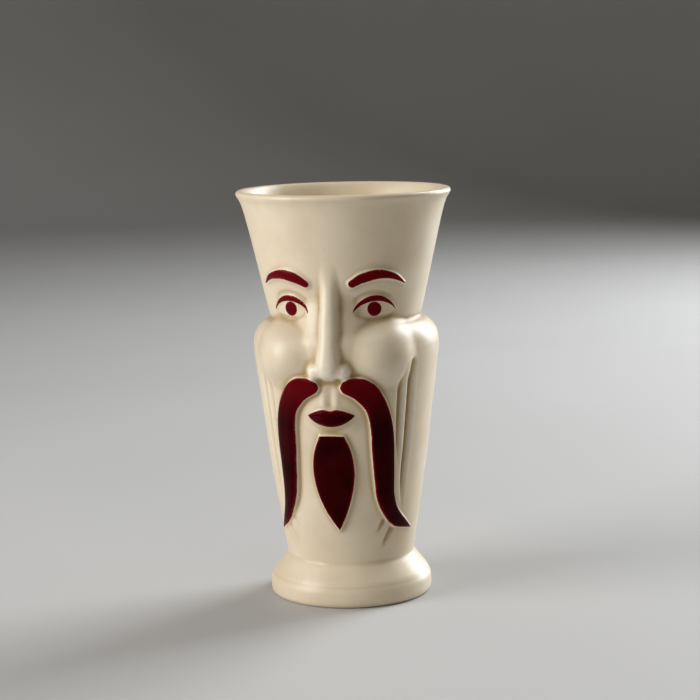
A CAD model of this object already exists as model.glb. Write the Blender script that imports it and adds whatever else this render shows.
import math

import bmesh
import bpy
import numpy as np
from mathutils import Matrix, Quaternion, Vector


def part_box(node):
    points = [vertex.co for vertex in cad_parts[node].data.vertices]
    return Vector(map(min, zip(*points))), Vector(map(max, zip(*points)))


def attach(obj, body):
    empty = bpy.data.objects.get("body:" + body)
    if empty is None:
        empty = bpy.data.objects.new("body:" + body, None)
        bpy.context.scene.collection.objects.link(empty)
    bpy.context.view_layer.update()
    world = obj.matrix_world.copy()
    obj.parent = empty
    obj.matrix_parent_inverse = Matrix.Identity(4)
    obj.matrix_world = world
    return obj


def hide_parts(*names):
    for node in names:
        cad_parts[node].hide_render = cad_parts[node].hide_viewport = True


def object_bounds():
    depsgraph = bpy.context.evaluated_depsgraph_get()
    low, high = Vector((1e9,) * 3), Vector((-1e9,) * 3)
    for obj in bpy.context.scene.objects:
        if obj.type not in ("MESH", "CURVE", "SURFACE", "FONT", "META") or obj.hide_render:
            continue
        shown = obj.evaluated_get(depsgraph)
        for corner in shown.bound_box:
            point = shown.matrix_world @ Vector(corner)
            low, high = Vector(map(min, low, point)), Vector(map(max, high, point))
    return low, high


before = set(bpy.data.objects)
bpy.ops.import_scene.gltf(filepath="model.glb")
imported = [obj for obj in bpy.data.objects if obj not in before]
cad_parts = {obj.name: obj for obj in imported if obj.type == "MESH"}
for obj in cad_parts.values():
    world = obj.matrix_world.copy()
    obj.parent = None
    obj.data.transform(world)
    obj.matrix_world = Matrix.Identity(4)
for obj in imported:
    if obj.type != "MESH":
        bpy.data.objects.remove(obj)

# A glazed ceramic mask mug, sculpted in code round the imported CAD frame. Lengths inside the sculpt
# are millimetres and become metres when a mesh is made. A place on the mug's wall is (s, z): z is
# the height and s the distance round the wall from the middle of the face, so s / radius is an angle.
# The face looks to -Y. "Left" is the left of a person who looks at it.

MM = 0.001
cad_low, cad_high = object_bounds()
HEIGHT = (cad_high.z - cad_low.z) / MM
RIM_R = (cad_high.x - cad_low.x) / 2 / MM


def levels(node):
    """Lowest and highest level of a CAD node, in millimetres."""
    low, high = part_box(node)
    return low.z / MM, high.z / MM


# --- the vessel's outline ---
LIP_INNER = 3.5
SHOULDER, CREASE = (38.7, 107.0), (31.4, 117.5)         # widest beaker, and the waist, as (r, z)
CUP_FOOT, CUP_TOP = (32.2, 121.0), (40.0, 155.6)        # ends of the cup's straight wall
FLARE_TOP = (RIM_R - 0.5, 167.4)
BEAKER_FOOT_Z, BEAKER_FOOT_R = 18.0, 26.6
FOOT_R, FOOT_RING_R, RECESS = 34.0, 26.4, 1.4
FLOOR_Z = 7.5

# --- the mesh of the body ---
FRONT_ANGLE = math.radians(76)      # half of the finely divided front
FRONT_COLUMNS, BACK_COLUMNS = 196, 56
FINE_STEP, PLAIN_STEP = 0.54, 1.1   # spacing of the rows on the face, and on the foot and the lip
FACE_LOW_Z, FACE_HIGH_Z = 21.0, 147.0
RELIEF_ANGLE, RELIEF_OVER = 1.35, 8.0           # the relief's reach: radians, and above FACE_HIGH_Z
INSIDE_STEP, INSIDE_LIP_STEP = 4.5, 2.0         # spacing of the rows in the hollow, and near its lip
INSIDE_LIP_Z = 160
BLUR_PASSES = 16        # how far the blur spreads that finds where glaze pools

# --- the face, a calm mask: its levels are those of the painted fields in the frame ---
PUPIL_R, PUPIL_UP = 3.0, 0.75       # the pupil's middle is a little above the eye's
LIP_HALF, LIP_UP, LIP_DOWN = 9.6, 3.2, 4.6
BROW_LINE = levels("brow_right")[0] + 0.9
EYE_Z = levels("pupil_right")[0] + PUPIL_R - PUPIL_UP
NOSE_BASE = levels("moustache_right")[1] - 1.5
MOUTH_Z = levels("lips")[0] + LIP_DOWN
GOATEE_TIP, GOATEE_TOP = levels("goatee")
GOATEE_LEAN = 1.4       # how far the point sits to the right

GLAZE_HOLLOWS = [(16.9, 0.7, 0.22), (8.4, 0.6, 0.16)]    # on the foot: z, reach, depth

RELIEF = 1.3            # how far a painted field stands out of the wall
CROWN_REACH = 3.6       # distance from a field's edge to the flat of its crowned top
BEARD_CROWN = 0.45      # crown of the moustache and the goatee, as a share of their relief
TAIL_RELIEF = 0.35      # share of its relief that a moustache keeps at its tail
TAIL_Z = 29, 48         # levels between which it sinks to that share
CREAM_EDGE = 0.30       # bare relief left round an enamel field
WALL_WOBBLE = 0.10      # how uneven the hand-made wall is

FILM = 0.28             # thickness of the enamel
FILM_LIFT, FILM_SINK = 0.03, 0.3    # how far its top clears the relief, and its underside lies in it
FILM_EDGE = 0.35        # share of its thickness that it keeps at its edge
PAINT_RIM, PAINT_REACH = 0.78, 2.4  # paint at the rim as a share of the middle's, and the way to full
PAINT_TOP = 0.45        # paint above the nose's base as a share of the paint low on the beard


# --- small helpers ---

def smooth_step(low, high, value):
    """0 below low, 1 above high, and an S-curve between."""
    t = np.clip((value - low) / (high - low), 0.0, 1.0)
    return t * t * (3 - 2 * t)


def smooth_max(a, b, blend):
    """The larger of two surfaces, with a fillet about as wide as blend where they meet."""
    h = np.maximum(blend - np.abs(a - b), 0.0) / blend
    return np.maximum(a, b) + h * h * blend / 4


def ripple(x, seed):
    """A slow, uneven, repeatable wobble between about -1 and 1."""
    return (np.sin(1.7 * x + seed) + 0.6 * np.sin(3.1 * x + 2.3 * seed)
            + 0.4 * np.sin(5.3 * x + 4.1 * seed)) / 2


def spline(points, count):
    """A smooth curve through rows of numbers (Catmull-Rom, ends repeated)."""
    p = np.array(points, float)
    p = np.vstack([2 * p[0] - p[1], p, 2 * p[-1] - p[-2]])
    spans = len(p) - 3
    u = np.linspace(0, spans, count)
    i = np.minimum(u.astype(int), spans - 1)
    t = (u - i)[:, None]
    a, b, c, d = p[i], p[i + 1], p[i + 2], p[i + 3]
    return 0.5 * (2 * b + (c - a) * t + (2 * a - 5 * b + 4 * c - d) * t**2
                  + (3 * b - a - 3 * c + d) * t**3)


def arc(centre, radius, start, end, count):
    """Points on a circle in the (r, z) plane, angles in degrees from +r."""
    a = np.radians(np.linspace(start, end, count))
    return np.column_stack([centre[0] + radius * np.cos(a), centre[1] + radius * np.sin(a)])


# --- the vessel's half section, as (r, z) points ---

def foot_points():
    """Recess, foot ring, rounded lower band, the shallow groove and the concave sweep to the beaker."""
    ring = [(0.5, RECESS), (12.0, RECESS), (FOOT_RING_R - 1.0, RECESS), (FOOT_RING_R, 0.9)]
    ring += [(FOOT_RING_R + 0.8, 0.15), (FOOT_RING_R + 1.6, 0.0), (FOOT_R - 2.2, 0.0)]
    edge = arc((FOOT_R - 2.0, 2.0), 2.0, -88, 0, 9)
    band = spline([(FOOT_R, 2.0), (33.95, 4.6), (33.8, 6.6), (33.35, 7.7), (32.9, 8.3), (32.75, 8.9)], 16)
    bevel = spline([(32.75, 8.9), (32.35, 9.6), (31.4, 10.9), (29.6, 13.2), (28.1, 15.1), (27.5, 15.9),
                    (27.0, 16.35), (26.6, 16.7), (26.5, 17.2), (BEAKER_FOOT_R, BEAKER_FOOT_Z)], 36)
    return [ring, edge, band[1:], bevel[1:]]


def wall_points():
    """The beaker's gently bowed taper, the round shoulder, the crease of the waist and the cup."""
    beaker = spline([(BEAKER_FOOT_R, BEAKER_FOOT_Z), (29.6, 36.0), (32.9, 58.0), (35.6, 80.0),
                     (37.7, 96.5), (38.5, 102.5), SHOULDER], 170)
    shoulder = spline([SHOULDER, (38.2, 110.2), (36.7, 113.0), (34.3, 115.4), (32.4, 116.5), CREASE], 40)
    crease = spline([CREASE, (31.42, 118.2), (31.75, 119.2), CUP_FOOT], 12)
    cup = np.linspace(CUP_FOOT, CUP_TOP, 60)
    flare = spline([CUP_TOP, (40.9, 159.4), (41.9, 163.0), (43.0, 165.9), FLARE_TOP], 20)
    return [beaker[1:], shoulder[1:], crease[1:], cup[1:], flare[1:]]


def lip_points():
    """A thin lip, rounded over to the inside."""
    return [spline([FLARE_TOP, (RIM_R - 0.05, 168.2), (RIM_R - 0.1, 169.0),
                    (RIM_R - 0.6, 169.65), (RIM_R - 1.6, HEIGHT), (RIM_R - 2.7, 169.75),
                    (RIM_R - LIP_INNER, 169.0)], 30)[1:]]


def inside_points():
    """The hollow: it follows the outside one wall thickness in, and ends in a rounded floor."""
    return [spline([(RIM_R - LIP_INNER, 169.0), (39.6, 166.2), (38.1, 162.6), (35.8, 152.0),
                    (31.4, 132.0), (28.2, 119.0), (27.8, 116.4), (30.0, 112.6), (33.6, 108.0),
                    (34.6, 103.0), (33.8, 96.0), (28.9, 57.0), (23.6, 22.0), (21.6, 13.0),
                    (17.0, 8.6), (9.0, FLOOR_Z), (0.5, FLOOR_Z)], 260)[1:]]


def resampled(points, step_at):
    """The same line, cut at a spacing that depends on the height."""
    points = np.vstack(points)
    lengths = np.concatenate([[0], np.cumsum(np.hypot(*np.diff(points, axis=0).T))])
    places, at = [0.0], 0.0
    while at < lengths[-1]:
        z = np.interp(at, lengths, points[:, 1])
        at += step_at(z)
        places.append(min(at, lengths[-1]))
    return np.column_stack([np.interp(places, lengths, points[:, k]) for k in (0, 1)])


def outside_step(z):
    return FINE_STEP if FACE_LOW_Z < z < FACE_HIGH_Z else PLAIN_STEP


def inside_step(z):
    return INSIDE_STEP if z < INSIDE_LIP_Z else INSIDE_LIP_STEP


OUTSIDE = np.vstack([np.vstack(part) for part in foot_points() + wall_points()])
WALL_LINE = np.vstack([np.vstack(part) for part in foot_points()[3:] + wall_points()])


def base_radius(z):
    """Radius of the plain wall, before any relief."""
    return np.interp(z, WALL_LINE[:, 1], WALL_LINE[:, 0])


TABLE_STEP = 0.5
SOFTEN_REACH = 12       # millimetres up and down over which the waist is smoothed out
TABLE_Z = np.arange(0.0, HEIGHT + TABLE_STEP, TABLE_STEP)
SOFTEN = np.exp(-(np.arange(-SOFTEN_REACH, SOFTEN_REACH + TABLE_STEP, TABLE_STEP) / 5.0) ** 2)
PADDED = np.pad(base_radius(TABLE_Z), int(SOFTEN_REACH / TABLE_STEP), "edge")
SOFT_RADIUS = np.convolve(PADDED, SOFTEN / SOFTEN.sum(), "valid")


def soft_radius(z):
    """Radius of the wall with its waist smoothed out: s is measured round this one."""
    return np.interp(z, TABLE_Z, SOFT_RADIUS)


# --- the relief ---

class Field:
    """A field on the wall between two edges that run from its first end to its last, as (s, z)."""

    FAR = 7.0           # no distance beyond this is worked out

    def __init__(self, edge_a, edge_b):
        self.edges = edge_a, edge_b
        loop = np.vstack([edge_a, edge_b[::-1]])
        self.start, self.run = loop, np.roll(loop, -1, axis=0) - loop
        self.low, self.high = loop.min(axis=0) - self.FAR, loop.max(axis=0) + self.FAR
        self.lowest = loop[:, 1].min()

    def outside(self, s, z):
        """Signed distance to the outline: negative inside, and FAR at places a long way off."""
        distance = np.full(s.shape, self.FAR)
        near = (s > self.low[0]) & (s < self.high[0]) & (z > self.low[1]) & (z < self.high[1])
        if not near.any():
            return distance
        ds = s[near][:, None] - self.start[None, :, 0]
        dz = z[near][:, None] - self.start[None, :, 1]
        run_s, run_z = self.run[:, 0], self.run[:, 1]
        t = np.clip((ds * run_s + dz * run_z) / (run_s**2 + run_z**2 + 1e-9), 0, 1)
        gap = np.hypot(ds - t * run_s, dz - t * run_z).min(axis=1)
        crosses = (dz < 0) != (dz - run_z < 0)
        reach = run_s * dz / np.where(run_z == 0, 1e-9, run_z)
        inside = (crosses & (ds < reach)).sum(axis=1) % 2 == 1
        distance[near] = np.where(inside, -gap, gap)
        return distance


def evenly(points, count):
    """A smooth line through points, cut into equal lengths."""
    line = spline(points, 300)
    lengths = np.concatenate([[0], np.cumsum(np.hypot(*np.diff(line, axis=0).T))])
    at = np.linspace(0, lengths[-1], count)
    return np.column_stack([np.interp(at, lengths, line[:, k]) for k in (0, 1)])


def stroke(rows, count=60, cap=8):
    """A field drawn as a brush stroke with round ends: rows of (s, z, half width) along its middle."""
    line = spline(rows, count)
    half = np.maximum(line[:, 2], 0.05)
    along = np.gradient(line[:, :2], axis=0)
    along /= np.linalg.norm(along, axis=1)[:, None]
    across = np.column_stack([-along[:, 1], along[:, 0]])
    turn = np.radians(np.linspace(88, 10, cap))[:, None]
    first = line[0, :2] - along[0] * half[0] * np.sin(turn)
    last = line[-1, :2] + along[-1] * half[-1] * np.sin(turn[::-1])
    centre = np.vstack([first, line[:, :2], last])
    side = np.vstack([np.repeat(across[:1], cap, 0), across, np.repeat(across[-1:], cap, 0)])
    wide = np.concatenate([half[0] * np.cos(turn[:, 0]), half, half[-1] * np.cos(turn[::-1, 0])])
    return Field(centre + side * wide[:, None], centre - side * wide[:, None])


def moustache(outer_tail, inner_tail, tip):
    """Half a moustache: blunt beside the nose, straight as it hangs, and pointed where it flicks out."""
    start = (4.2, 92.7)
    outer = [start, (5.7, 95.4), (9.6, 96.6), (15.0, 95.6), (20.4, 90.2), (24.0, 81.4)]
    inner = [start, (5.4, 90.5), (10.2, 87.4), (14.2, 82.2), (15.5, 75.0), (15.7, 61.6), (16.4, 48.6)]
    return Field(evenly(outer + outer_tail + [tip], 120), evenly(inner + inner_tail + [tip], 120))


# The right half (1) and the left half (-1), which differ a little: the right one flicks out further.
MOUSTACHES = {
    1: moustache([(25.3, 70.9), (24.8, 55.4), (24.6, 46.0), (27.2, 38.6)],
                 [(17.7, 42.2), (20.2, 36.8), (24.8, 31.9)], (35.2, 29.4)),
    -1: moustache([(24.8, 70.9), (23.8, 55.4), (23.7, 46.0), (25.7, 38.6)],
                  [(18.2, 42.2), (21.6, 36.4), (25.8, 31.9)], (31.4, 28.8)),
}


def goatee_edge(side):
    """One edge of the pointed beard: a nearly flat top, a full flank and a point that leans a little."""
    corner = (5.0 * side, GOATEE_TOP - 0.2)
    flank = [corner, (7.6 * side, 65.0), (8.35 * side, 57.5), (7.3 * side, 49.5), (4.6 * side, 41.0)]
    edge = np.vstack([np.linspace((0, GOATEE_TOP), corner, 8)[:-1], evenly(flank + [(0, GOATEE_TIP)], 70)])
    edge[:, 0] += GOATEE_LEAN * ((GOATEE_TOP - edge[:, 1]) / (GOATEE_TOP - GOATEE_TIP)) ** 3
    return edge


GOATEE = Field(goatee_edge(-1), goatee_edge(1))
BROW = stroke([(9.4, BROW_LINE + 1.6, 1.5), (14.0, BROW_LINE + 4.0, 2.0),
               (20.4, BROW_LINE + 5.2, 1.9), (27.0, BROW_LINE + 3.9, 1.3),
               (32.4, BROW_LINE + 0.8, 0.25)])

# An open, level eye: an almond a fifth of the face wide.
EYE_MID, EYE_HALF = 18.2, 9.2
EYE_UP, EYE_DOWN = 4.0, 3.0


def eye_top(s):
    """Upper edge of the eye's opening."""
    x = np.clip((s - EYE_MID) / EYE_HALF, -1, 1)
    return EYE_Z + EYE_UP * (1 - x**2) ** 0.85 + 0.5 * x


def eye_low(s):
    """Lower edge of the eye's opening."""
    x = np.clip((s - EYE_MID) / EYE_HALF, -1, 1)
    return EYE_Z - EYE_DOWN * (1 - x**2) ** 1.1 + 0.5 * x


def lid_field():
    """The upper lid's painted band: thickest over the pupil, pointed at both corners."""
    s = EYE_MID + np.concatenate([EYE_HALF * np.sin(np.linspace(-math.pi / 2, math.pi / 2, 60)),
                                  [EYE_HALF + 0.9]])
    x = np.clip((s - EYE_MID) / EYE_HALF, -1, 1)
    thick = 1.9 * (1 - x**2) ** 0.6 + 0.5 * (x > -0.99)
    top = eye_top(s) + thick
    low = eye_top(s) - 0.1
    top[-1] = low[-1] = EYE_Z - 0.1
    top[0] = low[0]
    return Field(np.column_stack([s, top]), np.column_stack([s, low]))


def pupil_field():
    """The round pupil, cut off level with the lid above it."""
    a = np.linspace(0, math.pi, 25)
    s = EYE_MID - PUPIL_R * np.cos(a)
    centre = EYE_Z + PUPIL_UP
    low = centre - PUPIL_R * np.sin(a)
    top = np.maximum(np.minimum(centre + PUPIL_R * np.sin(a), eye_top(s) - 0.3), low)
    return Field(np.column_stack([s, top]), np.column_stack([s, low]))


LID, PUPIL = lid_field(), pupil_field()


def lip_top(s):
    """Upper edge of the upper lip: a shallow bow."""
    x = np.clip(np.abs(s) / LIP_HALF, 0, 1)
    return MOUTH_Z + LIP_UP * (1 - x**1.7) - 1.0 * np.exp(-(s / 1.8) ** 2)


def lip_low(s):
    """Lower edge of the lower lip: one full curve."""
    x = np.clip(np.abs(s) / LIP_HALF, 0, 1)
    return MOUTH_Z - LIP_DOWN * (1 - x**2) ** 0.85


def lips_field():
    s = LIP_HALF * np.sin(np.linspace(-math.pi / 2, math.pi / 2, 61))
    return Field(np.column_stack([s, lip_top(s)]), np.column_stack([s, lip_low(s)]))


LIPS = lips_field()

# Combed hair: two long flutes from under the cheek, and two short ones below the moustache. Each has
# its depth, the softness of its edges and the length over which it runs out at its lower end.
FLUTES = [(stroke([(31.2, 100.0, 0.9), (29.8, 88.0, 0.95), (28.6, 74.0, 0.8), (27.4, 56.0, 0.3)]),
           2.3, 0.9, 24),
          (stroke([(36.8, 101.0, 1.3), (35.0, 84.0, 1.35), (32.8, 66.0, 1.2), (30.4, 52.0, 0.9),
                   (28.8, 37.0, 0.3)]), 3.4, 1.1, 28),
          (stroke([(20.2, 35.8, 0.8), (18.4, 32.6, 0.7), (16.2, 28.6, 0.3)]), 1.1, 0.9, 5),
          (stroke([(24.2, 32.0, 1.0), (21.2, 27.4, 0.9), (17.8, 21.6, 0.3)]), 1.3, 1.0, 6)]
LEFT_FLUTES = 0.25      # the left flutes' depth as a share of the right ones': they barely show
FLUTE_CLEAR = 0.5, 1.4  # distances from the moustache at which a flute starts, and is at full depth

# The front line of the nose from the forehead down, as (z, radius).
NOSE_FRONT = spline([(152, 32.0), (146, 34.6), (140, 36.0), (134, 36.7), (128, 37.5), (121, 38.8),
                     (113, 40.7), (106, 42.7), (101.5, 43.5), (98.6, 42.9), (96.6, 40.9), (95.0, 37.6),
                     (93.0, 31.0), (88.0, 10.0)], 200)


def plateau(outside, height, soft=0.75, crown=0.15):
    """A raised field with softly rounded edges and a crowned top, from the distance to its outline."""
    inward = np.clip(-outside / CROWN_REACH, 0, 1)
    return height * (1 - smooth_step(-soft, soft, outside) + crown * (1 - (1 - inward) ** 2))


def nose_radius(s, z):
    """The nose as a radius from the axis: a straight, rounded ridge that widens to a round tip."""
    front = np.interp(z, NOSE_FRONT[::-1, 0], NOSE_FRONT[::-1, 1], left=0.0)
    half = np.interp(z, [NOSE_BASE, 101, 112, 124, BROW_LINE, 146], [5.0, 5.4, 4.4, 3.8, 4.2, 6.5])
    return front - 4.0 * (np.abs(s) / half) ** 2.5


def wing_radius(s, z):
    """The rounded wings beside the nose's tip."""
    d = np.hypot((np.abs(s) - 5.2) / 4.2, (z - NOSE_BASE - 4.2) / 4.4)
    return 41.9 - 4.2 * d**2.4


def middle_radius(s, z):
    """The middle of the face, which slopes from the eyes to the cheeks over the vessel's waist."""
    slope = np.interp(z, [92, 104, 110, 120, 128, 134], [30.0, 38.2, 38.0, 35.4, 33.0, 30.0], left=0.0)
    return slope - 3.4 * (np.abs(s) / 15.0) ** 2.4


def cheek_radius(s, z):
    """Full round cheeks at the height of the nose's tip."""
    lift, out = z - NOSE_BASE - 8.8, np.abs(s) - 23.0
    d = np.hypot(out / np.where(out > 0, 14.0, 12.6), lift / 10.4)
    return RIM_R - 1.9 - 4.6 * d**2.35


def muzzle_radius(s, z):
    """The soft swelling round the mouth, with a shallow groove down to the bow of the lip."""
    d = np.hypot(s / 13.0, (z - MOUTH_Z - 1.5) / 12.0)
    low, high = MOUTH_Z + 2.8, NOSE_BASE - 1.0
    channel = 0.55 * np.exp(-(s / 1.3) ** 2) - 0.3 * np.exp(-((np.abs(s) - 2.7) / 1.2) ** 2)
    channel = channel * smooth_step(low, low + 2, z) * (1 - smooth_step(high - 2, high, z))
    return base_radius(z) + 1.9 - 2.8 * d**2 - channel


def out_of_eye(s, z):
    """1 inside the eye's opening, and 0 a little way outside it."""
    x = np.clip(np.abs(s - EYE_MID) / EYE_HALF, 0, 1)
    return smooth_step(-1.6, 0.0, z - eye_low(s)) * (1 - smooth_step(0.7, 1.0, x))


def eye_relief(s, z):
    """Socket, eyeball, lids and brow ridge, as a height over the wall; s is measured to one side."""
    x = (s - EYE_MID) / (EYE_HALF + 0.6)
    y = (z - EYE_Z + 0.2) / 4.6
    inside = np.minimum(eye_top(s) - z, z - eye_low(s))
    inside = np.where(np.abs(x) < 1, inside, -3.0)
    ball = 1.3 * np.clip(1 - x**2 - 0.55 * y**2, 0, 1) * smooth_step(-0.6, 0.8, inside)
    socket = 1.5 * np.exp(-((s - EYE_MID + 3) / 11.5) ** 2 - ((z - EYE_Z - 0.6) / 6.6) ** 2)
    ridge = 0.9 * np.exp(-((s - 20) / 13.0) ** 2 - ((z - BROW_LINE - 4.0) / 5.0) ** 2)
    lid = plateau(LID.outside(s, z) - 0.15, 0.8, 0.5)
    fold = 0.4 * np.exp(-((z - eye_top(s) - 4.0) / 0.7) ** 2) * smooth_step(1.0, 0.7, np.abs(x))
    lower = 0.6 * np.exp(-((z - eye_low(s) + 0.5) / 0.75) ** 2) * smooth_step(1.0, 0.75, np.abs(x))
    bag = 0.3 * np.exp(-((z - eye_low(s) + 2.4) / 0.8) ** 2) * smooth_step(0.9, 0.5, np.abs(x))
    return ball - socket + ridge + lid - fold + lower - bag


def lips_relief(s, z):
    """Two lips that meet in a line, as a height over the muzzle."""
    inside = np.minimum(lip_top(s) - z, z - lip_low(s))
    inside = np.minimum(inside, (LIP_HALF - np.abs(s)) * 0.8)
    body = smooth_step(-0.9, 1.7, inside)
    full = 1.0 + 0.35 * smooth_step(MOUTH_Z, MOUTH_Z - 2.5, z)
    ends = smooth_step(LIP_HALF + 1.5, LIP_HALF - 2, np.abs(s))
    line = np.exp(-((z - MOUTH_Z + 0.1) / 0.6) ** 2) * ends
    ledge = 0.5 * np.exp(-((z - lip_low(s) + 2.0) / 1.1) ** 2 - (s / 6.0) ** 2)
    return 1.2 * body * full - 0.9 * line - ledge


def surface_radius(angle, z, plain=None):
    """Radius of the finished surface at an angle from the front and a height."""
    plain = base_radius(z) if plain is None else plain
    s = angle * soft_radius(z)
    wall = plain + WALL_WOBBLE * ripple(angle * 1.1 + z * 0.031, 0.4)
    face = (np.abs(angle) < RELIEF_ANGLE) & (z > FACE_LOW_Z) & (z < FACE_HIGH_Z + RELIEF_OVER)
    if not face.any():
        return wall
    out, s, z = wall[face], s[face], z[face]
    side = np.abs(s)
    whisker = np.where(s > 0, MOUSTACHES[1].outside(side, z), MOUSTACHES[-1].outside(side, z))
    carved = np.where(s > 0, 1.0, LEFT_FLUTES)
    for field, depth, soft, run_out in FLUTES:
        cut = 1 - smooth_step(-soft, soft, field.outside(side, z))
        cut = cut * smooth_step(0, run_out, z - field.lowest)
        out = out - depth * carved * cut * smooth_step(*FLUTE_CLEAR, whisker)
    out = out + eye_relief(side, z)
    out = smooth_max(out, middle_radius(s, z) - 0.9 * out_of_eye(side, z), 2.2)
    for shape, fillet in ((cheek_radius, 3.4), (muzzle_radius, 1.6),
                          (wing_radius, 2.0), (nose_radius, 2.4)):
        out = smooth_max(out, shape(s, z), fillet)
    nostril = np.exp(-((side - 3.9) / 1.5) ** 2 - ((z - NOSE_BASE - 0.9) / 0.9) ** 2)
    out = out - 0.7 * nostril
    out = out + lips_relief(s, z)
    fade = TAIL_RELIEF + (1 - TAIL_RELIEF) * smooth_step(*TAIL_Z, z)
    out = out + fade * plateau(whisker - CREAM_EDGE, RELIEF + 0.3, crown=BEARD_CROWN)
    out = out + plateau(GOATEE.outside(s, z) - CREAM_EDGE, RELIEF, crown=BEARD_CROWN)
    out = out + plateau(BROW.outside(side, z) - 0.4, 0.8)
    wall = wall.copy()
    wall[face] = out
    return wall


def on_surface(angle, z, lift=0.0, plain=None):
    """Points in metres on the finished surface, or a little way off it."""
    r = surface_radius(angle, z, plain) + lift
    return np.column_stack([r * np.sin(angle), -r * np.cos(angle), z]) * MM


# --- meshes ---

def new_object(name, vertices, faces):
    mesh = bpy.data.meshes.new(name)
    mesh.from_pydata([tuple(v) for v in vertices], [], [tuple(int(i) for i in f) for f in faces])
    mesh.validate()
    mesh.polygons.foreach_set("use_smooth", [True] * len(mesh.polygons))
    mesh.update()
    piece = bpy.data.objects.new(name, mesh)
    bpy.context.scene.collection.objects.link(piece)
    return piece


def column_angles():
    """Angles round the mug: close together over the face, wider apart behind."""
    front = np.linspace(-FRONT_ANGLE, FRONT_ANGLE, FRONT_COLUMNS + 1)
    step = 2 * FRONT_ANGLE / FRONT_COLUMNS
    gap = 2 * math.pi - 2 * FRONT_ANGLE
    u = np.linspace(0, 1, BACK_COLUMNS + 1)[1:-1]
    share = step * BACK_COLUMNS / gap
    eased = share * u + (1 - share) * smooth_step(0, 1, u)
    return np.concatenate([front, FRONT_ANGLE + gap * eased])


def grid_faces(rows, columns, first=0, flip=False):
    """Quads of a grid whose last column joins its first."""
    i, j = np.meshgrid(np.arange(rows - 1), np.arange(columns), indexing="ij")
    k = (j + 1) % columns
    quads = np.stack([i * columns + j, i * columns + k, (i + 1) * columns + k, (i + 1) * columns + j], -1)
    quads = quads.reshape(-1, 4) + first
    return quads[:, ::-1] if flip else quads


def make_body():
    """The casting: sculpted outside, lip, hollow and foot in one closed mesh."""
    outside = resampled([OUTSIDE], outside_step)
    lip = np.vstack(lip_points())
    inside = resampled(inside_points(), inside_step)
    angles = column_angles()
    columns = len(angles)
    rows, radii = [], []
    for r, z in outside:
        line = np.full(columns, z)
        plain = np.full(columns, r)
        radius = surface_radius(angles, line, plain) if z > FACE_LOW_Z - 2 else plain
        radii.append(radius)
        rows.append(np.column_stack([radius * np.sin(angles), -radius * np.cos(angles), line]))
    for r, z in np.vstack([lip, inside[1:]]):
        radii.append(np.full(columns, r))
        rows.append(np.column_stack([r * np.sin(angles), -r * np.cos(angles), np.full(columns, z)]))
    vertices = np.vstack(rows) * MM
    faces = list(grid_faces(len(rows), columns))
    under, floor = len(vertices), len(vertices) + 1
    vertices = np.vstack([vertices, [[0, 0, RECESS * MM], [0, 0, FLOOR_Z * MM]]])
    last = (len(rows) - 1) * columns
    for j in range(columns):
        k = (j + 1) % columns
        faces.append((under, k, j))
        faces.append((floor, last + j, last + k))
    body = new_object("casting", vertices, faces)
    pool = pooled_glaze(np.array(radii), outside)
    store(body, "pool", np.concatenate([pool.ravel(), [0, 0]]))
    return body


def pooled_glaze(radii, profile):
    """How deep each point lies below its neighbourhood, where glaze gathers."""
    z = profile[:, 1]
    face = z > FACE_LOW_Z - 2
    gap = np.diff(z[face])
    share = (gap[1:] / (gap[1:] + gap[:-1]))[:, None]
    relief = radii[:len(z)][face]
    blurred = relief.copy()
    for _ in range(BLUR_PASSES):
        blurred = (np.roll(blurred, 1, 1) + np.roll(blurred, -1, 1) + 2 * blurred) / 4
        blurred[1:-1] = (share * blurred[:-2] + (1 - share) * blurred[2:] + blurred[1:-1]) / 2
    window = smooth_step(FACE_LOW_Z, FACE_LOW_Z + 3, z) * smooth_step(FACE_HIGH_Z + 6, FACE_HIGH_Z, z)
    pool = np.zeros_like(radii)
    pool[:len(z)][face] = blurred - relief
    pool[:len(z)] *= window[:, None]
    hollows = sum(depth * np.exp(-((z - at) / reach) ** 2) for at, reach, depth in GLAZE_HOLLOWS)
    pool[:len(z)] += hollows[:, None]
    return pool


def store(piece, name, values):
    """Keeps one number per vertex for the material."""
    attribute = piece.data.attributes.new(name, "FLOAT", "POINT")
    attribute.data.foreach_set("value", np.asarray(values, np.float32))


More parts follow.
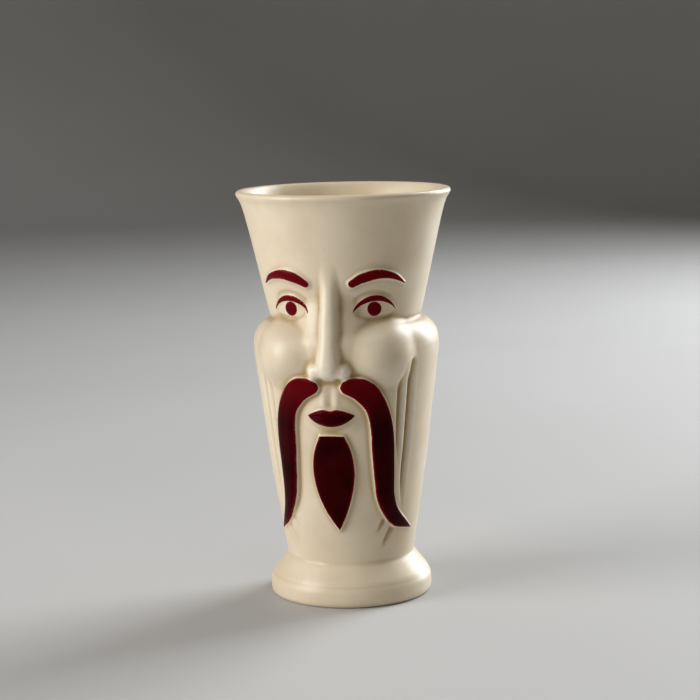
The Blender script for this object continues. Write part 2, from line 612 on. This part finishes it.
def make_film(name, edge_a, edge_b, thickness=FILM, across=13):
    """An enamel field: a closed, slightly domed film between two edges on the wall, given as (s, z)."""
    v = np.sin(np.linspace(-math.pi / 2, math.pi / 2, across))
    share = (v[None, :, None] + 1) / 2
    places = edge_a[:, None, :] * (1 - share) + edge_b[:, None, :] * share
    s, z = places[..., 0].ravel(), places[..., 1].ravel()
    angle = s / soft_radius(z)
    half = np.linalg.norm(edge_a - edge_b, axis=1) / 2
    rim = np.minimum((1 - np.abs(v))[None, :] * half[:, None], end_distance(places))
    body = smooth_step(0, 0.9, rim).ravel()
    lift = FILM_EDGE * (rim.ravel() > 0.02) + (1 - FILM_EDGE) * body
    top = on_surface(angle, z, FILM_LIFT + thickness * lift)
    bottom = on_surface(angle, z, -FILM_SINK)
    rows = len(edge_a)
    faces = []
    count = rows * across
    for i in range(rows - 1):
        for j in range(across - 1):
            quad = (i * across + j, i * across + j + 1, (i + 1) * across + j + 1, (i + 1) * across + j)
            faces.append(quad)
            faces.append(tuple(count + q for q in quad[::-1]))
    loop = list(range(across))
    loop += [i * across + across - 1 for i in range(1, rows)]
    loop += [(rows - 1) * across + j for j in range(across - 2, -1, -1)]
    loop += [i * across for i in range(rows - 2, 0, -1)]
    for a, b in zip(loop, loop[1:] + loop[:1]):
        faces.append((b, a, count + a, count + b))
    film = new_object(name, np.vstack([top, bottom]), faces)
    sagged = PAINT_TOP + (1 - PAINT_TOP) * smooth_step(NOSE_BASE + 2, NOSE_BASE - 22, z)
    domed = PAINT_RIM + (1 - PAINT_RIM) * smooth_step(0, PAINT_REACH, rim).ravel()
    store(film, "thick", np.concatenate([body * domed * sagged, np.zeros(count)]))
    clean(film)
    return film


def end_distance(places):
    """Distance of each place from the film's first and last row."""
    first = np.linalg.norm(places - places[:1], axis=2)
    last = np.linalg.norm(places - places[-1:], axis=2)
    return np.minimum(first, last) + 0.05


def clean(piece):
    """Joins the points that meet at a tip and turns every face outwards."""
    work = bmesh.new()
    work.from_mesh(piece.data)
    bmesh.ops.remove_doubles(work, verts=work.verts, dist=2e-6)
    bmesh.ops.dissolve_degenerate(work, edges=work.edges, dist=1e-7)
    bmesh.ops.recalc_face_normals(work, faces=work.faces)
    work.to_mesh(piece.data)
    work.free()


def painted(field, side=1, wobble=0.1, seed=1.0):
    """A field's two edges with a brush's wobble, on one side of the face: -1 is the left."""
    edge_a, edge_b = field.edges
    gap = edge_b - edge_a
    width = np.linalg.norm(gap, axis=1)
    across = gap / np.maximum(width, 1e-6)[:, None]
    u = np.linspace(0, 0.07 * len(edge_a), len(edge_a))
    keep = wobble * smooth_step(0.3, 3.0, width)
    for scale, share in ((1.0, 1.0), (5.3, 0.35)):
        edge_a = edge_a + across * (share * keep * ripple(scale * u, seed + side))[:, None]
        edge_b = edge_b + across * (share * keep * ripple(scale * u, seed + side + 2))[:, None]
    return edge_a * (side, 1), edge_b * (side, 1)


body = make_body()
films = {"goatee": make_film("goatee_film", *painted(GOATEE, 1, 0.12, 2.0), across=25),
         "lips": make_film("lips_film", *LIPS.edges, across=21)}
for side_name, side in (("left", -1), ("right", 1)):
    whisker = painted(MOUSTACHES[side], side, 0.16)
    shaped = {
        "moustache": make_film(f"moustache_film_{side_name}", *whisker, across=21),
        "brow": make_film(f"brow_film_{side_name}", *painted(BROW, side, 0.10, 3.0)),
        "eyelid": make_film(f"eyelid_film_{side_name}", *painted(LID, side, 0.05, 4.0), FILM + 0.05, 9),
        "pupil": make_film(f"pupil_film_{side_name}", *painted(PUPIL, side, 0.05, 5.0)),
    }
    films.update({f"{field}_{side_name}": film for field, film in shaped.items()})


# --- materials ---

def new_material(name):
    material = bpy.data.materials.new(name)
    material.use_nodes = True
    nodes, links = material.node_tree.nodes, material.node_tree.links
    shader = nodes["Principled BSDF"]
    return material, nodes, links, shader


def object_coordinates(nodes):
    return nodes.new("ShaderNodeTexCoord").outputs["Object"]


def noise(nodes, links, scale, detail=3.0, roughness=0.55):
    """3-D noise in the object's own space; scale is in features per metre."""
    node = nodes.new("ShaderNodeTexNoise")
    node.inputs["Scale"].default_value = scale
    node.inputs["Detail"].default_value = detail
    node.inputs["Roughness"].default_value = roughness
    links.new(object_coordinates(nodes), node.inputs["Vector"])
    return node.outputs["Fac"]


def ramp(nodes, links, source, stops):
    """Maps a number to colours; stops are (position, colour)."""
    node = nodes.new("ShaderNodeValToRGB")
    elements = node.color_ramp.elements
    while len(elements) > len(stops):
        elements.remove(elements[-1])
    while len(elements) < len(stops):
        elements.new(0.5)
    for element, (position, colour) in zip(elements, stops):
        element.position = position
        element.color = (*colour, 1.0)
    links.new(source, node.inputs["Fac"])
    return node.outputs["Color"]


def remap(nodes, links, source, low, high, to_low, to_high):
    node = nodes.new("ShaderNodeMapRange")
    for socket, value in zip(("From Min", "From Max", "To Min", "To Max"), (low, high, to_low, to_high)):
        node.inputs[socket].default_value = value
    links.new(source, node.inputs["Value"])
    return node.outputs["Result"]


def blend(nodes, links, factor, a, b):
    """Mixes two colours, each a socket or a plain colour."""
    node = nodes.new("ShaderNodeMix")
    node.data_type = "RGBA"
    links.new(factor, node.inputs["Factor"])
    for value, socket in ((a, node.inputs[6]), (b, node.inputs[7])):
        if isinstance(value, tuple):
            socket.default_value = (*value, 1.0)
        else:
            links.new(value, socket)
    return node.outputs[2]


def bump(nodes, links, height, strength, distance, normal=None):
    node = nodes.new("ShaderNodeBump")
    node.inputs["Strength"].default_value = strength
    node.inputs["Distance"].default_value = distance
    links.new(height, node.inputs["Height"])
    if normal is not None:
        links.new(normal, node.inputs["Normal"])
    return node.outputs["Normal"]


def attribute(nodes, name):
    node = nodes.new("ShaderNodeAttribute")
    node.attribute_name = name
    return node.outputs["Fac"]


# Colours are linear. A mottle is a list of (noise value, colour).
IVORY = [(0.30, (0.70, 0.58, 0.41)), (0.52, (0.76, 0.645, 0.475)), (0.75, (0.80, 0.70, 0.53))]
IVORY_POOLED, IVORY_THIN = (0.46, 0.33, 0.15), (0.90, 0.84, 0.72)
IVORY_SPECK, BARE_CLAY = (0.52, 0.40, 0.25), (0.72, 0.66, 0.56)
BARE_FULL, BARE_END = 0.0001, 0.0005    # metres: the wiped foot ring, and the level where glaze starts
MAROON = [(0.30, (0.016, 0.0004, 0.0008)), (0.70, (0.036, 0.0008, 0.0016))]
MAROON_THIN, MAROON_MISSED = (0.22, 0.004, 0.010), (0.70, 0.50, 0.38)


def ivory_glaze():
    """Ivory glaze: mottled, warmer where it pools and paler where it thins, wiped off the foot ring."""
    material, nodes, links, shader = new_material("ivory_glaze")
    mottle = ramp(nodes, links, noise(nodes, links, 45, 4), IVORY)
    pool = attribute(nodes, "pool")
    pooled = blend(nodes, links, remap(nodes, links, pool, 0.03, 0.6, 0, 1), mottle, IVORY_POOLED)
    thin = blend(nodes, links, remap(nodes, links, pool, -0.05, -0.6, 0, 0.75), pooled, IVORY_THIN)
    speck = remap(nodes, links, noise(nodes, links, 900, 1), 0.72, 0.80, 0, 0.5)
    speckled = blend(nodes, links, speck, thin, IVORY_SPECK)
    position = nodes.new("ShaderNodeSeparateXYZ")
    links.new(object_coordinates(nodes), position.inputs["Vector"])
    bare = remap(nodes, links, position.outputs["Z"], BARE_FULL, BARE_END, 1, 0)
    colour = blend(nodes, links, bare, speckled, BARE_CLAY)
    links.new(colour, shader.inputs["Base Color"])
    gloss = remap(nodes, links, noise(nodes, links, 120, 3), 0.3, 0.7, 0.34, 0.42)
    rough = nodes.new("ShaderNodeMix")
    links.new(bare, rough.inputs["Factor"])
    links.new(gloss, rough.inputs["A"])
    rough.inputs["B"].default_value = 0.75
    links.new(rough.outputs["Result"], shader.inputs["Roughness"])
    peel = bump(nodes, links, noise(nodes, links, 420, 2), 0.10, 0.0002)
    waves = bump(nodes, links, noise(nodes, links, 75, 2), 0.20, 0.0005, peel)
    links.new(waves, shader.inputs["Normal"])
    shader.inputs["IOR"].default_value = 1.5
    shader.inputs["Coat Weight"].default_value = 0.06
    shader.inputs["Coat Roughness"].default_value = 0.16
    return material


def maroon_enamel():
    """Brushed maroon enamel: near black where it is thick, redder and a little ragged where it thins."""
    material, nodes, links, shader = new_material("maroon_enamel")
    streaks = ramp(nodes, links, noise(nodes, links, 110, 2, 0.5), MAROON)
    thick = attribute(nodes, "thick")
    colour = blend(nodes, links, remap(nodes, links, thick, 0.0, 0.95, 0.8, 0.0), streaks, MAROON_THIN)
    missed = nodes.new("ShaderNodeMath")
    missed.operation = "MULTIPLY"
    links.new(remap(nodes, links, noise(nodes, links, 1100, 1), 0.60, 0.68, 0, 1), missed.inputs[0])
    links.new(remap(nodes, links, thick, 0.0, 0.18, 0.7, 0), missed.inputs[1])
    colour = blend(nodes, links, missed.outputs["Value"], colour, MAROON_MISSED)
    links.new(colour, shader.inputs["Base Color"])
    gloss = remap(nodes, links, noise(nodes, links, 120, 2), 0.3, 0.7, 0.15, 0.22)
    links.new(gloss, shader.inputs["Roughness"])
    fine = bump(nodes, links, noise(nodes, links, 520, 2), 0.06, 0.0002)
    brushed = bump(nodes, links, noise(nodes, links, 130, 2), 0.20, 0.0004, fine)
    links.new(brushed, shader.inputs["Normal"])
    shader.inputs["Specular IOR Level"].default_value = 0.05
    shader.inputs["Specular Tint"].default_value = (1.0, 0.24, 0.27, 1.0)
    return material


body.data.materials.append(ivory_glaze())
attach(body, "root")
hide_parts("mug_body")
enamel = maroon_enamel()
for node_name, film in films.items():
    film.data.materials.append(enamel)
    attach(film, "root")
    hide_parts(node_name)


# --- floor, light and camera ---

SWEEP_FLAT, SWEEP_BEND, SWEEP_HIGH = 1.9, 0.9, 1.6      # metres: flat radius, bend's radius, wall's top
SWEEP_COLUMNS = 96
FLOOR_GREY = [(0.3, (0.50, 0.50, 0.50)), (0.7, (0.53, 0.53, 0.53))]

LIGHT_AIM = (0, 0, 0.09)

CAMERA_AZIMUTH, CAMERA_AIM_OFF = 11.0, 0.105     # degrees
CAMERA_REACH, CAMERA_HEIGHT = 0.790, 0.2214      # metres from the axis, and above the floor
CAMERA_DOWN, CAMERA_ROLL = 8.58, -1.27           # degrees
SENSOR_WIDTH, LENS = 36.0, 98.1                  # millimetres


def pale_floor():
    """A round studio sweep: a flat floor that curves up into a low wall on every side."""
    material, nodes, links, shader = new_material("pale_floor")
    links.new(ramp(nodes, links, noise(nodes, links, 3, 2), FLOOR_GREY), shader.inputs["Base Color"])
    shader.inputs["Roughness"].default_value = 0.6
    profile = [(0.01, 0.0)] + [(r, 0.0) for r in np.linspace(0.3, SWEEP_FLAT, 8)]
    bend = np.radians(np.linspace(6, 90, 15))
    profile += [(SWEEP_FLAT + SWEEP_BEND * math.sin(a), SWEEP_BEND * (1 - math.cos(a))) for a in bend]
    profile.append((SWEEP_FLAT + SWEEP_BEND, SWEEP_HIGH))
    around = np.linspace(0, 2 * math.pi, SWEEP_COLUMNS, endpoint=False)
    vertices = [(r * math.cos(a), r * math.sin(a), z) for r, z in profile for a in around]
    faces = list(grid_faces(len(profile), len(around))) + [tuple(range(len(around)))]
    floor = new_object("floor", vertices, faces)
    floor.data.materials.append(material)


def area_light(name, place, size, power, colour=(1, 1, 1)):
    """A soft box that points at the middle of the mug; lengths in metres, power in watts."""
    data = bpy.data.lights.new(name, "AREA")
    data.shape = "RECTANGLE"
    data.size, data.size_y = size
    data.energy = power
    data.color = colour
    light = bpy.data.objects.new(name, data)
    light.location = place
    light.rotation_mode = "QUATERNION"
    light.rotation_quaternion = (Vector(LIGHT_AIM) - Vector(place)).to_track_quat("-Z", "Y")
    light.visible_camera = False
    bpy.context.scene.collection.objects.link(light)


def studio():
    area_light("key", (-0.89, -0.58, 0.50), size=(0.7, 0.9), power=12.2, colour=(1.0, 0.98, 0.96))
    area_light("rim", (0.80, 1.03, 0.66), size=(0.75, 1.3), power=29.0, colour=(0.97, 0.99, 1.0))
    area_light("fill", (0.70, -0.62, 0.30), size=(0.5, 0.5), power=0.28, colour=(1.0, 0.70, 0.25))
    area_light("top", (0.1, -0.1, 1.3), size=(0.8, 0.8), power=2.6)
    world = bpy.data.worlds.new("studio")
    world.use_nodes = True
    background = world.node_tree.nodes["Background"]
    background.inputs["Color"].default_value = (1.0, 0.84, 0.60, 1)
    background.inputs["Strength"].default_value = 0.06
    bpy.context.scene.world = world


def camera():
    data = bpy.data.cameras.new("camera")
    data.sensor_width = SENSOR_WIDTH
    data.lens = LENS
    data.clip_start, data.clip_end = 0.01, 30
    cam = bpy.data.objects.new("camera", data)
    place = math.radians(CAMERA_AZIMUTH)
    turn = math.radians(CAMERA_AZIMUTH - CAMERA_AIM_OFF)
    down = math.radians(CAMERA_DOWN)
    cam.location = (CAMERA_REACH * math.sin(place), -CAMERA_REACH * math.cos(place), CAMERA_HEIGHT)
    forward = Vector((-math.sin(turn) * math.cos(down), math.cos(turn) * math.cos(down), -math.sin(down)))
    cam.rotation_mode = "QUATERNION"
    roll = Quaternion((0, 0, 1), math.radians(CAMERA_ROLL))
    cam.rotation_quaternion = forward.to_track_quat("-Z", "Y") @ roll
    bpy.context.scene.collection.objects.link(cam)
    bpy.context.scene.camera = cam


pale_floor()
studio()
camera()
bpy.context.scene.view_settings.view_transform = "Standard"
